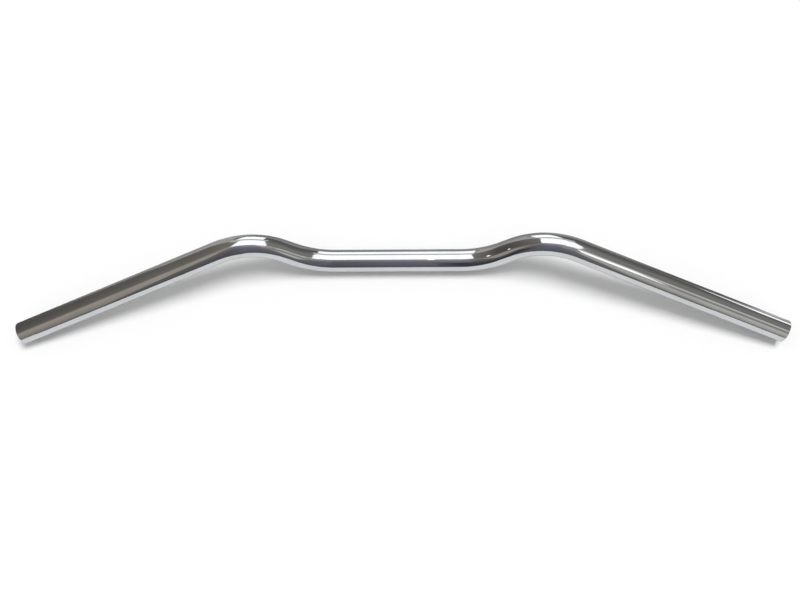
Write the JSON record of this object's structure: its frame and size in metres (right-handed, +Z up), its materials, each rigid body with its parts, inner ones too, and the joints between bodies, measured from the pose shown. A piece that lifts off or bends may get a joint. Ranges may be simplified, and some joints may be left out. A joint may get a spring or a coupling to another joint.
{
  "type": "bicycle handlebar",
  "caption": "Low-rise bicycle handlebar: one bent steel tube, chrome plated, with a straight clamped middle, short risers, swept-back grip ends and open ends.",
  "frame": {"origin": "middle of the clamped stretch, on the tube's axis", "axes": "+X along the clamped stretch to the rider's right, -Y the way the grips sweep back, +Z up as the bar lies at rest on the clamped stretch and its two rims"},
  "size_m": [0.7528, 0.1013, 0.0553],
  "materials": {
    "chrome_plate": "bright chrome plating on steel, polished, with fine handling scratches"
  },
  "bodies": {
    "root": {"handlebar_tube": "chrome_plate"}
  },
  "joints": []
}
